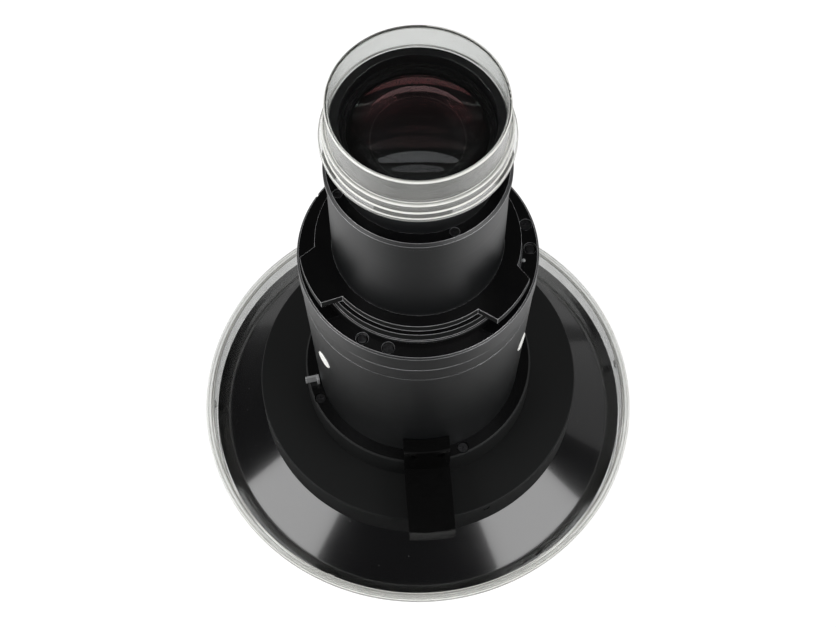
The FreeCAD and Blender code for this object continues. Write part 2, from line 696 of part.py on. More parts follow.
def lock_bracket():
    """Angle piece on the collar: a block with two screw holes and an arm over the rim."""
    gap = dim.slip / 2
    arm_end = dim.housing_radius + dim.arm_overhang
    ring = turned("bracket_ring", [
        (dim.block_back, collar_top),
        (dim.collar_radius + gap, collar_top),
        (dim.collar_radius + gap, housing_rear),
        (arm_end, housing_rear),
        (arm_end, housing_rear + dim.arm_height - dim.edge_bevel),
        (arm_end - dim.edge_bevel, housing_rear + dim.arm_height),
        (dim.block_face, housing_rear + dim.arm_height),
        (dim.block_face, collar_top + dim.block_height - dim.block_bevel_rise),
        (dim.block_face - dim.block_bevel_run, collar_top + dim.block_height),
        (dim.block_back, collar_top + dim.block_height),
    ])
    half = dim.arm_width / 2
    reach = arm_end + 1
    slab = block(
        "bracket_slab", reach, dim.arm_width, reach, 0, -half, housing_rear - 1,
    )
    slab.Placement = FreeCAD.Placement(
        slab.Placement.Base, FreeCAD.Rotation(FreeCAD.Vector(0, 0, 1), dim.arm_angle.number),
    )
    bind(slab, "Placement.Rotation.Angle", dim.arm_angle)
    bind(slab, "Placement.Base.x", half * sine(dim.arm_angle))
    bind(slab, "Placement.Base.y", -half * cosine(dim.arm_angle))
    solid = combine("Part::Common", "bracket_solid", ring, slab)
    holes = []
    grubs = []
    height = collar_top + dim.block_hole_height
    depth = dim.block_face - dim.block_back
    for name, side in (("left", -dim.block_hole_side), ("right", dim.block_hole_side)):
        holes.append(radial(
            f"bracket_hole_{name}", dim.block_hole_radius, depth + 1, dim.block_back - 0.5,
            dim.arm_angle, height, side,
        ))
        rod = radial(
            f"bracket_screw_{name}_rod", dim.block_hole_radius - dim.slip / 2, depth - dim.block_hole_depth,
            dim.block_back, dim.arm_angle, height, side,
        )
        socket = radial(
            f"bracket_screw_{name}_socket", dim.block_hole_radius / 2, depth / 4,
            dim.block_back + (depth - dim.block_hole_depth) - depth / 4, dim.arm_angle, height, side,
        )
        grubs.append(combine("Part::Cut", f"bracket_screw_{name}", rod, socket))
    group("bracket_screws", grubs)
    return cut("lock_bracket", solid, holes)


def stop_plate():
    """Bright angle plate that stands on the collar and stops the barrel's rotation."""
    start = dim.block_back
    half = dim.stop_plate_thickness / 2
    bar = block(
        "stop_bar", dim.stop_plate_length, dim.stop_plate_thickness, dim.stop_plate_height,
        start, -half, collar_top,
    )
    leg = block(
        "stop_leg", dim.stop_plate_thickness, dim.stop_plate_leg, dim.stop_plate_height,
        start, -half, collar_top,
    )
    plate = combine("Part::Fuse", "stop_plate", bar, leg)
    return clocked(plate, dim.stop_plate_angle)


def barrel_radius(height):
    """Outside of the tapered main barrel at a height above its foot."""
    taper = (dim.barrel_top_radius - dim.barrel_foot_radius) / dim.barrel_length
    return dim.barrel_foot_radius + taper * height


def main_barrel():
    """Tapered barrel with three plugged holes in its side."""
    blank = turned("main_barrel", [
        (dim.barrel_bore, collar_top),
        (dim.barrel_foot_radius, collar_top),
        (dim.barrel_top_radius, barrel_top),
        (dim.barrel_bore, barrel_top),
    ])
    outside = barrel_radius(dim.plug_height)
    holes = []
    plugs = []
    angles = (dim.plug_middle - dim.plug_spread, dim.plug_middle + dim.plug_spread, dim.plug_middle + 180)
    for step, angle in enumerate(angles):
        holes.append(radial(
            f"plug_hole_{step + 1}", dim.plug_radius + dim.slip / 2, outside,
            dim.barrel_bore / 2, angle, collar_top + dim.plug_height,
        ))
        plugs.append(radial(
            f"side_plug_{step + 1}", dim.plug_radius, outside + dim.plug_proud - dim.barrel_bore,
            dim.barrel_bore, angle, collar_top + dim.plug_height,
        ))
    group("side_plugs", plugs)
    return cut("main_barrel", blank, holes)


def mount_flange():
    """Flange ring with a spigot in the barrel, screw and dowel seats and an index notch."""
    spigot = dim.barrel_bore - dim.slip
    blank = turned("mount_flange", [
        (dim.flange_bore, barrel_top),
        (spigot - dim.flange_spigot_wall, barrel_top),
        (spigot - dim.flange_spigot_wall, tube_end),
        (spigot, tube_end),
        (spigot, barrel_top),
        (dim.flange_radius - dim.groove_width, barrel_top),
        (dim.flange_radius - dim.groove_width, barrel_top + dim.groove_width),
        (dim.flange_radius, barrel_top + dim.groove_width),
        (dim.flange_radius, flange_top - dim.flange_bevel),
        (dim.flange_radius - dim.flange_bevel, flange_top),
        (dim.flange_bore, flange_top),
    ])
    seat = flange_top - dim.counterbore_depth
    shank = dim.screw_shank_radius
    wide = dim.flange_counterbore
    place = (dim.flange_screw_ring, thirds(dim.flange_screw_angle), seat)
    screws("flange_screws", dim.screw_head_radius, shank, *place)
    tools = counterbores("flange_counterbore", wide, *place) + shank_holes("flange_hole", shank, *place)
    dowels = []
    dowel_place = (dim.flange_screw_ring, thirds(dim.flange_dowel_angle), seat)
    tools += counterbores("dowel_hole", wide, *dowel_place)
    for step, angle in enumerate(thirds(dim.flange_dowel_angle)):
        dowels.append(upright(
            f"flange_dowel_{step + 1}", dim.flange_dowel_radius, dim.counterbore_depth - dim.edge_bevel,
            dim.flange_screw_ring, angle, seat,
        ))
    group("flange_dowels", dowels)
    pin_depth = dim.flange_height / 2
    tools.append(upright(
        "index_pin_hole", dim.index_pin_radius + dim.slip / 4, pin_depth + dim.hole_runout,
        dim.index_pin_ring, dim.index_pin_angle, flange_top - pin_depth,
    ))
    upright(
        "index_pin", dim.index_pin_radius, pin_depth + dim.edge_bevel,
        dim.index_pin_ring, dim.index_pin_angle, flange_top - pin_depth,
    )
    half = dim.notch_width / 2
    notch = block(
        "notch_cutter", dim.notch_depth * 3, dim.notch_width, dim.flange_height,
        dim.flange_radius - dim.notch_depth, -half, barrel_top + dim.groove_width * 2,
    )
    turned_notch = group("notch_turned", [notch])
    tools.append(clocked(turned_notch, dim.notch_angle))
    return cut("mount_flange", blank, tools)


def bayonet_ring():
    """Three flared lugs round a hub whose edge is cut back in the front gap."""
    bore = dim.rear_radius + dim.slip / 2
    body = turned("bayonet_ring", [
        (bore, flange_top),
        (dim.hub_foot_radius, flange_top),
        (dim.hub_foot_radius, flange_top + dim.hub_foot_height),
        (dim.hub_radius, flange_top + dim.hub_foot_height),
        (dim.hub_radius, hub_top),
        (bore, hub_top),
    ])
    right, back, left = thirds(dim.lug_angle)
    relief_side = (dim.hub_relief_half, dim.hub_relief_half)
    relief = body.newObject("PartDesign::Pocket", "front_relief")
    relief.Profile = sector_sketch(
        body, "relief_outline", hub_top, back + 180, dim.hub_relief_radius, dim.hub_foot_radius,
        relief_side, relief_side,
    )
    bind(relief, "Length", dim.lug_thickness)
    steep = (dim.lug_root_gap_half, dim.lug_tip_half)
    flared = (dim.lug_root_half, dim.lug_tip_half)
    lugs = (
        ("lug_right", right, steep, flared),
        ("lug_back", back, flared, flared),
        ("lug_left", left, flared, steep),
    )
    lug_inner = (bore + dim.hub_relief_radius) / 2
    for name, clock, low_side, high_side in lugs:
        lug = body.newObject("PartDesign::Pad", name)
        lug.Profile = sector_sketch(
            body, name + "_outline", lug_bottom, clock, lug_inner, dim.lug_radius,
            low_side, high_side,
        )
        bind(lug, "Length", dim.lug_thickness)
        body.Tip = lug
    return body


def rear_barrel():
    """Plain rear barrel, counterbored at its end for the cell's flange."""
    bore = dim.rear_radius - dim.rear_wall
    recess = dim.cell_flange_radius + dim.slip / 2
    blank = turned("rear_barrel", [
        (bore, flange_top),
        (dim.rear_radius, flange_top),
        (dim.rear_radius, rear_end),
        (recess, rear_end),
        (recess, rear_end - dim.cell_flange),
        (bore, rear_end - dim.cell_flange),
    ])
    tools = shank_holes("barrel_hole", dim.small_shank_radius, *retainer_place)
    return cut("rear_barrel", blank, tools)


def rear_retainer():
    """Bevelled ring on the barrel's end that clamps the rear cell with four screws."""
    bore = dim.cell_neck_radius + dim.slip / 2
    blank = turned("rear_retainer", [
        (bore, rear_end),
        (dim.retainer_radius, rear_end),
        (dim.retainer_radius, retainer_top - dim.retainer_bevel),
        (dim.retainer_radius - dim.retainer_bevel, retainer_top),
        (bore, retainer_top),
    ])
    shank = dim.small_shank_radius
    screws("retainer_screws", dim.small_head_radius, shank, *retainer_place)
    tools = counterbores("retainer_counterbore", dim.small_counterbore, *retainer_place)
    return cut("rear_retainer", blank, tools + shank_holes("retainer_hole", shank, *retainer_place))


def rear_cell():
    """Cell for the rear group: clamped flange, neck, seat for the cap and rim."""
    outside = dim.rear_radius - dim.rear_wall - dim.slip
    blank = turned("rear_cell", [
        (dim.cell_clear, cell_foot),
        (outside, cell_foot),
        (outside, rear_end - dim.cell_flange),
        (dim.cell_flange_radius, rear_end - dim.cell_flange),
        (dim.cell_flange_radius, rear_end),
        (dim.cell_neck_radius, rear_end),
        (dim.cell_neck_radius, seat_bottom),
        (dim.cap_seat_radius, seat_bottom),
        (dim.cap_seat_radius, cap_seat),
        (dim.cell_rim_radius, cap_seat),
        (dim.cell_rim_radius, cell_top),
        (dim.cell_bore, cell_top),
        (dim.cell_bore, cell_foot + dim.cell_lip),
        (dim.cell_clear, cell_foot + dim.cell_lip),
    ])
    return cut("rear_cell", blank, shank_holes("cell_hole", dim.small_shank_radius, *retainer_place))


def rear_group():
    """Field glass, doublet and domed rear glass, with the rings between and above them."""
    radius = dim.cell_bore - dim.slip
    clear = dim.cell_clear
    lip = cell_foot + dim.cell_lip
    field_low = lip - sag(dim.field_curve, clear)
    field_high = field_low + dim.field_thickness
    doublet_low = cell_foot + dim.doublet_height
    doublet_high = doublet_low + dim.doublet_thickness
    rear_flat = cell_foot + dim.rear_glass_height
    rear_apex = rear_flat + dim.rear_glass_thickness
    glass("field_glass", radius, field_low, field_high, dim.field_curve, dim.field_curve)
    glass("rear_doublet", radius, doublet_low, doublet_high, dim.doublet_curve, dim.doublet_curve)
    glass("rear_glass", radius, rear_flat, rear_apex, None, dim.rear_glass_curve)
    rings = (
        ("cell_spacer", field_high - sag(dim.field_curve, clear), doublet_low + sag(dim.doublet_curve, clear)),
        ("rear_spacer", doublet_high - sag(dim.doublet_curve, clear), rear_flat),
    )
    for name, low, high in rings:
        turned(name, [(clear, low), (radius, low), (radius, high), (clear, high)])
    ring_low = rear_apex - sag(dim.rear_glass_curve, dim.rear_lock_clear)
    ring_high = ring_low + dim.rear_lock_height
    step = (dim.rear_lock_clear + radius) / 2
    turned("rear_lock_ring", [
        (dim.rear_lock_clear, ring_low),
        (radius, ring_low),
        (radius, ring_high),
        (step, ring_high),
        (step, ring_high - dim.rear_lock_height / 3),
        (dim.rear_lock_clear, ring_high - dim.rear_lock_height / 3),
    ])


def rear_cap():
    """Clear cap over the rear cell: straight wall, shoulder on the seat, flared lip."""
    wall = dim.rear_cap_wall
    bore = dim.rear_cap_radius - wall
    skirt_bore = dim.rear_skirt_radius - wall
    skirt_end = cap_seat - dim.rear_skirt_drop
    flare = dim.rear_lip_radius - dim.rear_skirt_radius
    turned("rear_cap", [
        (0, rear_cap_top - wall),
        (bore, rear_cap_top - wall),
        (bore, cap_seat),
        (skirt_bore, cap_seat),
        (skirt_bore, skirt_end + wall + flare),
        (dim.rear_lip_radius - wall, skirt_end + wall),
        (dim.rear_lip_radius - wall, skirt_end),
        (dim.rear_lip_radius, skirt_end),
        (dim.rear_lip_radius, skirt_end + wall * 2),
        (dim.rear_skirt_radius, skirt_end + wall * 2 + flare),
        (dim.rear_skirt_radius, cap_seat + wall),
        (dim.rear_cap_radius, cap_seat + wall),
        (dim.rear_cap_radius, rear_cap_top - dim.edge_bevel),
        (dim.rear_cap_radius - dim.edge_bevel, rear_cap_top),
        (0, rear_cap_top),
    ])


NODES = [
    "front_cap", "hood", "front_housing", "rim_screws", "front_glass", "front_seal", "front_lock_ring",
    "lens_tube", "inner_meniscus", "tube_spacer_front", "relay_glass_front", "tube_spacer_middle",
    "aperture_stop", "tube_spacer_rear", "relay_glass_rear", "tube_lock_ring",
    "base_collar", "collar_screws", "lock_bracket", "bracket_screws", "stop_plate",
    "main_barrel", "side_plugs", "mount_flange", "flange_screws", "flange_dowels", "index_pin",
    "bayonet_ring", "rear_barrel", "rear_retainer", "retainer_screws", "rear_cell",
    "field_glass", "cell_spacer", "rear_doublet", "rear_spacer", "rear_glass", "rear_lock_ring", "rear_cap",
]

front_cap()
hood()
front_housing()
rim_screws()
front_group()
tube_stack()
base_collar()
lock_bracket()
stop_plate()
main_barrel()
mount_flange()
bayonet_ring()
rear_barrel()
rear_retainer()
rear_cell()
rear_group()
rear_cap()
doc.recompute()

for item in doc.Objects:
    if "Invalid" in item.State or "Error" in item.State:
        raise RuntimeError(f"{item.Name} failed: {item.State}")

os.makedirs("parts", exist_ok=True)
for node in NODES:
    found = [item for item in doc.Objects if item.Label == node]
    if len(found) != 1:
        raise RuntimeError(f"{node} names {len(found)} objects")
    shape = found[0].Shape
    if shape.isNull() or not shape.isValid() or not shape.Solids:
        raise RuntimeError(f"{node} has no valid shape")
    shape.exportStep(f"parts/{node}.step")
    print(f"{node}: {len(shape.Solids)} solid, {shape.Volume / 1000:.2f} cm3")
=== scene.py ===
import math

import bmesh
import bpy
from mathutils import Matrix, Vector


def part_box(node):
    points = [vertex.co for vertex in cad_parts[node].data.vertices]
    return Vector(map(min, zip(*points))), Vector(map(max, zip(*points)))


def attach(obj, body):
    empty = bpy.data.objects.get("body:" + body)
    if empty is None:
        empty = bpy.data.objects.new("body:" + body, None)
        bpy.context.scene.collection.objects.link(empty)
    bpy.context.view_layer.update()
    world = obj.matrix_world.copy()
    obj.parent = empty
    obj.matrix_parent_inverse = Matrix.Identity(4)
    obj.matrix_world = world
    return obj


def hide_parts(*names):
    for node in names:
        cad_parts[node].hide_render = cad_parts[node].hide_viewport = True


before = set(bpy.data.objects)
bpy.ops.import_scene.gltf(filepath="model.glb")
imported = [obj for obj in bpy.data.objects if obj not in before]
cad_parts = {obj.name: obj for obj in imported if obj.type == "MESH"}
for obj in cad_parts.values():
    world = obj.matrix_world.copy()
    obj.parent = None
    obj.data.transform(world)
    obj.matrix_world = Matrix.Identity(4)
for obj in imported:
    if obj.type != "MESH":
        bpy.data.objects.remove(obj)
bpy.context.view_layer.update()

mm = 0.001
weld = 0.002 * mm  # points closer than this are merged
print("frame loaded:", len(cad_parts), "nodes")


# places read from the frame, in millimetres

def span(node):
    # outer radius, foot and top of a round node
    low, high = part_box(node)
    radius = max(abs(low[0]), abs(high[0]), abs(low[1]), abs(high[1]))
    return radius / mm, low[2] / mm, high[2] / mm


def turn(angle):
    return Matrix.Rotation(math.radians(angle), 4, "Z")


# camera in millimetres and degrees

camera = {"height": 812.7, "back": 352.9, "tilt": 26.69, "focal": 72.09}

# room in metres; the floor lies a little under the front cap, so that no two faces share a plane
room = {
    "floorSize": 24.0, "floorDrop": 0.0001, "floorColor": "#F4F4F3", "floorWhite": 1.1, "whiteShare": 0.9,
    "glossFront": 0.2, "glossSide": 0.9, "frontEnds": 0.45, "sideStarts": 0.95,
    "skyDiffuse": 0.45, "skyGlossy": 0.045, "panelDistance": 0.95, "panelTarget": 0.06,
}
# soft lights: clock angle, rise, width, height, power, outline, and whether the gloss shows it or it fills
panels = (
    ("leftShine", -153.0, 27.0, 0.62, 0.62, 4.6, "RECTANGLE", "shine"),
    ("rightShine", -35.0, 27.0, 0.66, 0.62, 4.9, "RECTANGLE", "shine"),
    ("leftFill", -153.0, 27.0, 0.62, 0.62, 9.0, "RECTANGLE", "fill"),
    ("rightFill", -35.0, 27.0, 0.66, 0.62, 9.0, "RECTANGLE", "fill"),
    ("sideGlow", 22.0, 15.0, 0.62, 0.62, 0.36, "RECTANGLE", "shine"),
    ("backdrop", 90.0, 13.0, 1.25, 0.62, 3.2, "RECTANGLE", "shine"),
    ("topStrip", -90.0, 84.0, 1.3, 0.15, 0.85, "ELLIPSE", "shine"),
    ("frontStrip", -90.0, 74.5, 0.75, 0.1, 0.22, "ELLIPSE", "shine"),
)


def linear(text):
    # sRGB hex text to a linear colour
    parts = [int(text[i:i + 2], 16) / 255 for i in (1, 3, 5)]
    return [p / 12.92 if p <= 0.04045 else ((p + 0.055) / 1.055) ** 2.4 for p in parts] + [1.0]


def addNode(tree, kind, values=None, links=None, **settings):
    # sockets go by name, or by number where a name repeats: a colour mix has its share at 0 and its two
    # colours at 6 and 7
    node = tree.nodes.new(kind)
    for name, value in settings.items():
        setattr(node, name, value)
    for name, value in (values or {}).items():
        node.inputs[name].default_value = value
    for name, socket in (links or {}).items():
        tree.links.new(socket, node.inputs[name])
    return node


def blankMaterial(name):
    material = bpy.data.materials.new(name)
    material.use_nodes = True
    tree = material.node_tree
    tree.nodes.clear()
    return material, tree


def finishMaterial(tree, shader):
    addNode(tree, "ShaderNodeOutputMaterial", links={"Surface": shader.outputs[0]})


# surface finishes, with the sizes of their patterns in millimetres

def anodisedSatin(name, ior):
    # black anodised aluminium, fine turned: faint lines round the barrel, a soft broad sheen
    look = {
        "color": "#08090A", "dust": "#101112", "grain": 0.7, "smooth": 0.35, "rough": 0.46, "stretch": 0.7,
        "lineWidth": 0.35, "lineLength": 33.3, "lineDepth": 0.05, "lineStrength": 0.2,
    }
    material, tree = blankMaterial(name)
    where = addNode(tree, "ShaderNodeTexCoord")
    along = 1 / (look["lineLength"] * mm)
    lines = addNode(
        tree, "ShaderNodeMapping", {"Scale": (along, along, 1 / (look["lineWidth"] * mm))},
        {"Vector": where.outputs["Object"]},
    )
    turned = addNode(tree, "ShaderNodeTexNoise", {"Scale": 1.0, "Detail": 2.0}, {"Vector": lines.outputs[0]})
    grain = addNode(
        tree, "ShaderNodeTexNoise", {"Scale": 1 / (look["grain"] * mm), "Detail": 3.0},
        {"Vector": where.outputs["Object"]},
    )
    rough = addNode(
        tree, "ShaderNodeMapRange", {"To Min": look["smooth"], "To Max": look["rough"]},
        {"Value": turned.outputs["Fac"]},
    )
    tint = addNode(
        tree, "ShaderNodeMix", {6: linear(look["color"]), 7: linear(look["dust"])},
        {0: grain.outputs["Fac"]}, data_type="RGBA",
    )
    bump = addNode(
        tree, "ShaderNodeBump", {"Strength": look["lineStrength"], "Distance": look["lineDepth"] * mm},
        {"Height": turned.outputs["Fac"]},
    )
    around = addNode(tree, "ShaderNodeTangent", direction_type="RADIAL", axis="Z")
    shader = addNode(
        tree, "ShaderNodeBsdfPrincipled", {"IOR": ior, "Anisotropic": look["stretch"]},
        {
            "Base Color": tint.outputs[2], "Roughness": rough.outputs[0], "Normal": bump.outputs[0],
            "Tangent": around.outputs[0],
        },
    )
    finishMaterial(tree, shader)
    return material


def anodisedMatt():
    # black anodised aluminium, bead blasted: a fine dull grain that hides every reflection
    look = {
        "color": "#060707", "speck": "#0C0D0D", "smooth": 0.56, "rough": 0.7, "level": 0.33, "wear": 22.0,
        "grain": 0.45, "grainDepth": 0.06, "grainStrength": 0.22,
    }
    material, tree = blankMaterial("anodisedMatt")
    where = addNode(tree, "ShaderNodeTexCoord")
    grain = addNode(
        tree, "ShaderNodeTexNoise", {"Scale": 1 / (look["grain"] * mm), "Detail": 4.0, "Roughness": 0.7},
        {"Vector": where.outputs["Object"]},
    )
    wear = addNode(
        tree, "ShaderNodeTexNoise", {"Scale": 1 / (look["wear"] * mm), "Detail": 2.0},
        {"Vector": where.outputs["Object"]},
    )
    tint = addNode(
        tree, "ShaderNodeMix", {6: linear(look["color"]), 7: linear(look["speck"])},
        {0: grain.outputs["Fac"]}, data_type="RGBA",
    )
    rough = addNode(
        tree, "ShaderNodeMapRange", {"To Min": look["smooth"], "To Max": look["rough"]},
        {"Value": wear.outputs["Fac"]},
    )
    bump = addNode(
        tree, "ShaderNodeBump", {"Strength": look["grainStrength"], "Distance": look["grainDepth"] * mm},
        {"Height": grain.outputs["Fac"]},
    )
    shader = addNode(
        tree, "ShaderNodeBsdfPrincipled", {"Specular IOR Level": look["level"]},
        {"Base Color": tint.outputs[2], "Roughness": rough.outputs[0], "Normal": bump.outputs[0]},
    )
    finishMaterial(tree, shader)
    return material


def glossLacquer():
    # black lacquer over spun metal: deep mirror gloss with a slight haze and scattered dust
    look = {
        "color": "#070708", "dust": "#3A3A3A", "smooth": 0.13, "rough": 0.24, "cloud": 30.0, "ior": 1.55,
        "coat": 0.9, "coatRoughness": 0.08, "coatIor": 1.5,
        "dustSpacing": 5.5, "dustSolid": 0.045, "dustEdge": 0.06,  # the last two as shares of the spacing
    }
    material, tree = blankMaterial("glossLacquer")
    where = addNode(tree, "ShaderNodeTexCoord")
    cloud = addNode(
        tree, "ShaderNodeTexNoise", {"Scale": 1 / (look["cloud"] * mm), "Detail": 3.0},
        {"Vector": where.outputs["Object"]},
    )
    specks = addNode(
        tree, "ShaderNodeTexVoronoi", {"Scale": 1 / (look["dustSpacing"] * mm)},
        {"Vector": where.outputs["Object"]},
    )
    dust = addNode(
        tree, "ShaderNodeMapRange",
        {"From Min": look["dustSolid"], "From Max": look["dustEdge"], "To Min": 1.0, "To Max": 0.0},
        {"Value": specks.outputs["Distance"]},
    )
    tint = addNode(
        tree, "ShaderNodeMix", {6: linear(look["color"]), 7: linear(look["dust"])},
        {0: dust.outputs[0]}, data_type="RGBA",
    )
    rough = addNode(
        tree, "ShaderNodeMapRange", {"To Min": look["smooth"], "To Max": look["rough"]},
        {"Value": cloud.outputs["Fac"]},
    )
    shader = addNode(
        tree, "ShaderNodeBsdfPrincipled",
        {
            "IOR": look["ior"], "Coat Weight": look["coat"], "Coat Roughness": look["coatRoughness"],
            "Coat IOR": look["coatIor"],
        },
        {"Base Color": tint.outputs[2], "Roughness": rough.outputs[0]},
    )
    finishMaterial(tree, shader)
    return material


def anodisedGloss():
    # polished black anodised aluminium: sharp edge highlights on a near-black face
    look = {
        "color": "#040405", "worn": "#090909", "smooth": 0.11, "rough": 0.22, "rub": 7.0, "ior": 1.5,
        "coat": 0.2, "coatRoughness": 0.1,
    }
    material, tree = blankMaterial("anodisedGloss")
    where = addNode(tree, "ShaderNodeTexCoord")
    rub = addNode(
        tree, "ShaderNodeTexNoise", {"Scale": 1 / (look["rub"] * mm), "Detail": 4.0},
        {"Vector": where.outputs["Object"]},
    )
    tint = addNode(
        tree, "ShaderNodeMix", {6: linear(look["color"]), 7: linear(look["worn"])},
        {0: rub.outputs["Fac"]}, data_type="RGBA",
    )
    rough = addNode(
        tree, "ShaderNodeMapRange", {"To Min": look["smooth"], "To Max": look["rough"]},
        {"Value": rub.outputs["Fac"]},
    )
    shader = addNode(
        tree, "ShaderNodeBsdfPrincipled",
        {"IOR": look["ior"], "Coat Weight": look["coat"], "Coat Roughness": look["coatRoughness"]},
        {"Base Color": tint.outputs[2], "Roughness": rough.outputs[0]},
    )
    finishMaterial(tree, shader)
    return material


def semiGlossPaint():
    # semi-gloss black paint over steel: darker than the anodised parts, with a slight grain
    look = {"color": "#030303", "worn": "#070707", "roughness": 0.24, "level": 0.2, "grain": 2.0}
    material, tree = blankMaterial("semiGlossPaint")
    where = addNode(tree, "ShaderNodeTexCoord")
    grain = addNode(
        tree, "ShaderNodeTexNoise", {"Scale": 1 / (look["grain"] * mm), "Detail": 3.0},
        {"Vector": where.outputs["Object"]},
    )
    tint = addNode(
        tree, "ShaderNodeMix", {6: linear(look["color"]), 7: linear(look["worn"])},
        {0: grain.outputs["Fac"]}, data_type="RGBA",
    )
    shader = addNode(
        tree, "ShaderNodeBsdfPrincipled",
        {"Roughness": look["roughness"], "Specular IOR Level": look["level"]},
        {"Base Color": tint.outputs[2]},
    )
    finishMaterial(tree, shader)
    return material


def blackenedSteel():
    # blackened screw steel: dark metal with brighter rubbed spots
    look = {"color": "#343436", "rubbed": "#848486", "roughness": 0.28, "rub": 1.2}
    material, tree = blankMaterial("blackenedSteel")
    where = addNode(tree, "ShaderNodeTexCoord")
    rub = addNode(
        tree, "ShaderNodeTexNoise", {"Scale": 1 / (look["rub"] * mm), "Detail": 3.0},
        {"Vector": where.outputs["Object"]},
    )
    tint = addNode(
        tree, "ShaderNodeMix", {6: linear(look["color"]), 7: linear(look["rubbed"])},
        {0: rub.outputs["Fac"]}, data_type="RGBA",
    )
    shader = addNode(
        tree, "ShaderNodeBsdfPrincipled", {"Metallic": 1.0, "Roughness": look["roughness"]},
        {"Base Color": tint.outputs[2]},
    )
    finishMaterial(tree, shader)
    return material


def milledAluminium():
    # bare milled aluminium: pale metal with fine parallel cutter marks
    look = {
        "color": "#C6C7C8", "mark": "#A8A9AA", "metal": 0.6, "roughness": 0.45, "markLength": 4.0,
        "markWidth": 0.3,
    }
    material, tree = blankMaterial("milledAluminium")
    where = addNode(tree, "ShaderNodeTexCoord")
    along = 1 / (look["markLength"] * mm)
    marks = addNode(
        tree, "ShaderNodeMapping", {"Scale": (along, along, 1 / (look["markWidth"] * mm))},
        {"Vector": where.outputs["Object"]},
    )
    cutter = addNode(tree, "ShaderNodeTexNoise", {"Scale": 1.0, "Detail": 2.0}, {"Vector": marks.outputs[0]})
    tint = addNode(
        tree, "ShaderNodeMix", {6: linear(look["color"]), 7: linear(look["mark"])},
        {0: cutter.outputs["Fac"]}, data_type="RGBA",
    )
    shader = addNode(
        tree, "ShaderNodeBsdfPrincipled", {"Metallic": look["metal"], "Roughness": look["roughness"]},
        {"Base Color": tint.outputs[2]},
    )
    finishMaterial(tree, shader)
    return material


def mouldedAcetal():
    # white moulded acetal: smooth and slightly waxy
    look = {"color": "#E6E6E2", "shade": "#DADAD6", "roughness": 0.35, "cloud": 3.0}
    material, tree = blankMaterial("mouldedAcetal")
    where = addNode(tree, "ShaderNodeTexCoord")
    cloud = addNode(
        tree, "ShaderNodeTexNoise", {"Scale": 1 / (look["cloud"] * mm), "Detail": 2.0},
        {"Vector": where.outputs["Object"]},
    )
    tint = addNode(
        tree, "ShaderNodeMix", {6: linear(look["color"]), 7: linear(look["shade"])},
        {0: cloud.outputs["Fac"]}, data_type="RGBA",
    )
    shader = addNode(
        tree, "ShaderNodeBsdfPrincipled", {"Roughness": look["roughness"]}, {"Base Color": tint.outputs[2]},
    )
    finishMaterial(tree, shader)
    return material


def paintedEdgeHighlight():
    # painted highlight on the rounded edges: a pale, partly metallic colour that draws bright hairlines along
    # them
    look = {"color": "#A0A0A2", "paintedGlint": "#E6E6E8", "metal": 0.6, "roughness": 0.3, "rub": 4.0}
    material, tree = blankMaterial("paintedEdgeHighlight")
    where = addNode(tree, "ShaderNodeTexCoord")
    # this noise moves the painted highlight between its two pale colours
    rub = addNode(
        tree, "ShaderNodeTexNoise", {"Scale": 1 / (look["rub"] * mm), "Detail": 3.0},
        {"Vector": where.outputs["Object"]},
    )
    tint = addNode(
        tree, "ShaderNodeMix", {6: linear(look["color"]), 7: linear(look["paintedGlint"])},
        {0: rub.outputs["Fac"]}, data_type="RGBA",
    )
    shader = addNode(
        tree, "ShaderNodeBsdfPrincipled", {"Metallic": look["metal"], "Roughness": look["roughness"]},
        {"Base Color": tint.outputs[2]},
    )
    finishMaterial(tree, shader)
    return material


def nitrileRubber():
    # black nitrile rubber: dull, slightly bloomed
    look = {"color": "#101010", "bloom": "#1C1C1C", "roughness": 0.8, "cloud": 5.0}
    material, tree = blankMaterial("nitrileRubber")
    where = addNode(tree, "ShaderNodeTexCoord")
    cloud = addNode(
        tree, "ShaderNodeTexNoise", {"Scale": 1 / (look["cloud"] * mm), "Detail": 3.0},
        {"Vector": where.outputs["Object"]},
    )
    tint = addNode(
        tree, "ShaderNodeMix", {6: linear(look["color"]), 7: linear(look["bloom"])},
        {0: cloud.outputs["Fac"]}, data_type="RGBA",
    )
    shader = addNode(
        tree, "ShaderNodeBsdfPrincipled", {"Roughness": look["roughness"]}, {"Base Color": tint.outputs[2]},
    )
    finishMaterial(tree, shader)
    return material


def opticalBlack():
    # matt optical black paint inside the barrels: almost no light comes back
    look = {"color": "#0B0B0B", "thin": "#141414", "roughness": 0.55, "level": 0.35, "cloud": 2.0}
    material, tree = blankMaterial("opticalBlack")
    where = addNode(tree, "ShaderNodeTexCoord")
    cloud = addNode(
        tree, "ShaderNodeTexNoise", {"Scale": 1 / (look["cloud"] * mm), "Detail": 3.0},
        {"Vector": where.outputs["Object"]},
    )
    tint = addNode(
        tree, "ShaderNodeMix", {6: linear(look["color"]), 7: linear(look["thin"])},
        {0: cloud.outputs["Fac"]}, data_type="RGBA",
    )
    shader = addNode(
        tree, "ShaderNodeBsdfPrincipled",
        {"Roughness": look["roughness"], "Specular IOR Level": look["level"]},
        {"Base Color": tint.outputs[2]},
    )
    finishMaterial(tree, shader)
    return material


